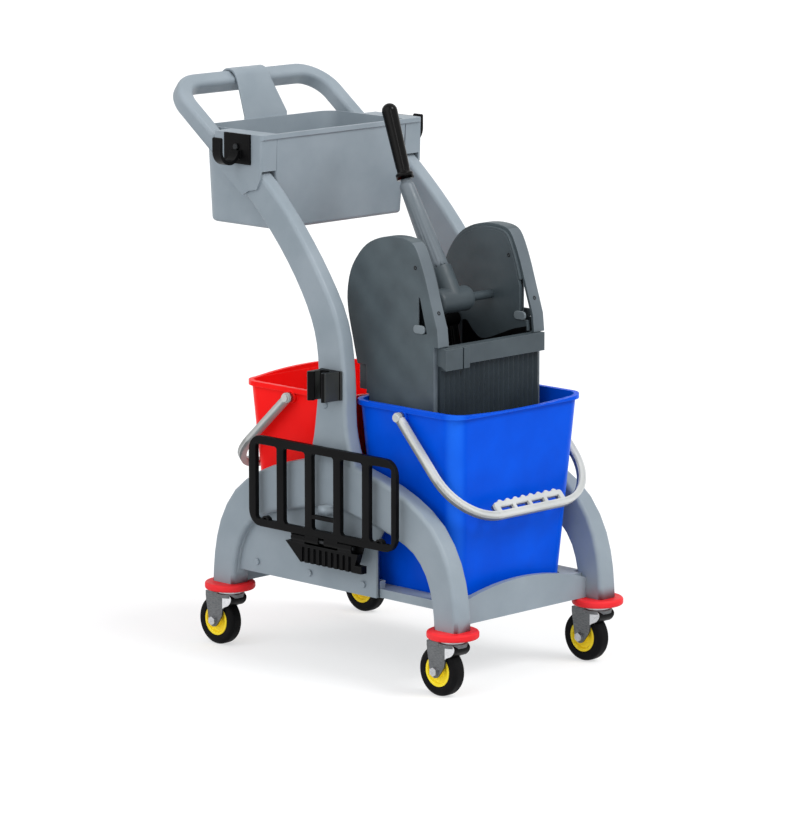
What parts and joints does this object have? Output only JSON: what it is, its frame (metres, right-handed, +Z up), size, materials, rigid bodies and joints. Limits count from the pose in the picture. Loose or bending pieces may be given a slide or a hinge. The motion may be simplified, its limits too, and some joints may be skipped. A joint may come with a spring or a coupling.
{
  "type": "mop bucket trolley",
  "caption": "Mop trolley with a front and a rear bucket, a geared lever press wringer, tool tray, push handle, fold-down side rack, hooks, mop clip and swivel castors under corner bumpers.",
  "frame": {"origin": "on the floor, midway between the four castor stems", "axes": "+X to the right of someone who faces the rear from the front bucket's end, so the side rack is at -X; +Y from the front bucket towards the push handle; +Z up"},
  "size_m": [0.456, 0.695, 0.917],
  "materials": {
    "frame_grey": "fine moulded grain",
    "slate": "fine moulded grain",
    "bucket_blue": "smooth gloss",
    "bucket_red": "smooth gloss",
    "bumper_red": "soft satin",
    "hub_yellow": "satin",
    "black_plastic": "satin",
    "tyre_black": "matt",
    "bail_grey": "satin",
    "zinc": "zinc plated",
    "grip_black": "satin"
  },
  "bodies": {
    "chassis": {"base_deck": "frame_grey", "left_side_frame": "frame_grey", "right_side_frame": "frame_grey", "tray": "frame_grey", "push_handle": "frame_grey", "handle_bridge": "frame_grey", "left_hook": "black_plastic", "right_hook": "black_plastic", "mop_clip": "black_plastic", "rack_bracket": "black_plastic", "rack_hinge_pin": "zinc", "frame_bolts": "zinc", "front_left_bumper": "bumper_red", "front_right_bumper": "bumper_red", "rear_left_bumper": "bumper_red", "rear_right_bumper": "bumper_red"},
    "rack": {"side_rack": "black_plastic"},
    "blue_bucket_body": {"blue_bucket": "bucket_blue", "blue_bail_pins": "bail_grey"},
    "red_bucket_body": {"red_bucket": "bucket_red", "red_bail_pins": "bail_grey"},
    "blue_bail_body": {"blue_bail": "bail_grey"},
    "red_bail_body": {"red_bail": "bail_grey"},
    "wringer": {"wringer_frame": "slate", "left_gear_cover": "slate", "right_gear_cover": "slate"},
    "lever": {"lever_axle": "zinc", "lever_gears": "zinc", "lever_yoke": "slate", "lever_tube": "slate", "lever_grip": "grip_black"},
    "press": {"press_plate": "black_plastic", "plate_shaft": "zinc", "plate_gears": "zinc"},
    "front_left_castor": {"front_left_stem": "zinc", "front_left_fork": "zinc", "front_left_axle": "zinc"},
    "front_left_wheel": {"front_left_hub": "hub_yellow", "front_left_tyre": "tyre_black"},
    "front_right_castor": {"front_right_stem": "zinc", "front_right_fork": "zinc", "front_right_axle": "zinc"},
    "front_right_wheel": {"front_right_hub": "hub_yellow", "front_right_tyre": "tyre_black"},
    "rear_left_castor": {"rear_left_stem": "zinc", "rear_left_fork": "zinc", "rear_left_axle": "zinc"},
    "rear_left_wheel": {"rear_left_hub": "hub_yellow", "rear_left_tyre": "tyre_black"},
    "rear_right_castor": {"rear_right_stem": "zinc", "rear_right_fork": "zinc", "rear_right_axle": "zinc"},
    "rear_right_wheel": {"rear_right_hub": "hub_yellow", "rear_right_tyre": "tyre_black"}
  },
  "joints": [
    {"name": "front_left_swivel", "type": "hinge", "parent": "chassis", "child": "front_left_castor", "pos_m": [-0.1655, -0.25, 0.095], "axis": [0, 0, 1], "continuous": true},
    {"name": "front_left_roll", "type": "hinge", "parent": "front_left_castor", "child": "front_left_wheel", "pos_m": [-0.1655, -0.227, 0.04], "axis": [1, 0, 0], "continuous": true},
    {"name": "front_right_swivel", "type": "hinge", "parent": "chassis", "child": "front_right_castor", "pos_m": [0.1655, -0.25, 0.095], "axis": [0, 0, 1], "continuous": true},
    {"name": "front_right_roll", "type": "hinge", "parent": "front_right_castor", "child": "front_right_wheel", "pos_m": [0.1655, -0.227, 0.04], "axis": [1, 0, 0], "continuous": true},
    {"name": "rear_left_swivel", "type": "hinge", "parent": "chassis", "child": "rear_left_castor", "pos_m": [-0.1655, 0.25, 0.095], "axis": [0, 0, 1], "continuous": true},
    {"name": "rear_left_roll", "type": "hinge", "parent": "rear_left_castor", "child": "rear_left_wheel", "pos_m": [-0.1655, 0.273, 0.04], "axis": [1, 0, 0], "continuous": true},
    {"name": "rear_right_swivel", "type": "hinge", "parent": "chassis", "child": "rear_right_castor", "pos_m": [0.1655, 0.25, 0.095], "axis": [0, 0, 1], "continuous": true},
    {"name": "rear_right_roll", "type": "hinge", "parent": "rear_right_castor", "child": "rear_right_wheel", "pos_m": [0.1655, 0.273, 0.04], "axis": [1, 0, 0], "continuous": true},
    {"name": "rack_fold", "type": "hinge", "parent": "chassis", "child": "rack", "pos_m": [-0.2, 0, 0.2125], "axis": [0, -1, 0], "range_deg": [0, 90]},
    {"name": "blue_bucket_lift", "type": "slide", "parent": "chassis", "child": "blue_bucket_body", "axis": [0, 0, 1], "range_m": [0, 0.3]},
    {"name": "red_bucket_lift", "type": "slide", "parent": "chassis", "child": "red_bucket_body", "axis": [0, 0.4226, 0.9063], "range_m": [0, 0.26]},
    {"name": "blue_bail_swing", "type": "hinge", "parent": "blue_bucket_body", "child": "blue_bail_body", "pos_m": [0, -0.124, 0.422], "axis": [-1, 0, 0], "range_deg": [0, 105]},
    {"name": "red_bail_swing", "type": "hinge", "parent": "red_bucket_body", "child": "red_bail_body", "pos_m": [0, 0.124, 0.422], "axis": [1, 0, 0], "range_deg": [0, 75]},
    {"name": "wringer_lift", "type": "slide", "parent": "blue_bucket_body", "child": "wringer", "axis": [0, 0, 1], "range_m": [0, 0.2]},
    {"name": "lever_pull", "type": "hinge", "parent": "wringer", "child": "lever", "pos_m": [0, -0.085, 0.584], "axis": [1, 0, 0], "range_deg": [0, 80]},
    {"name": "plate_swing", "type": "hinge", "parent": "wringer", "child": "press", "pos_m": [0, -0.00995, 0.5371], "axis": [1, 0, 0], "range_deg": [-42, 0]}
  ],
  "couplings": [
    {"joint": "plate_swing", "follows": "lever_pull", "ratio": -0.51282}
  ]
}
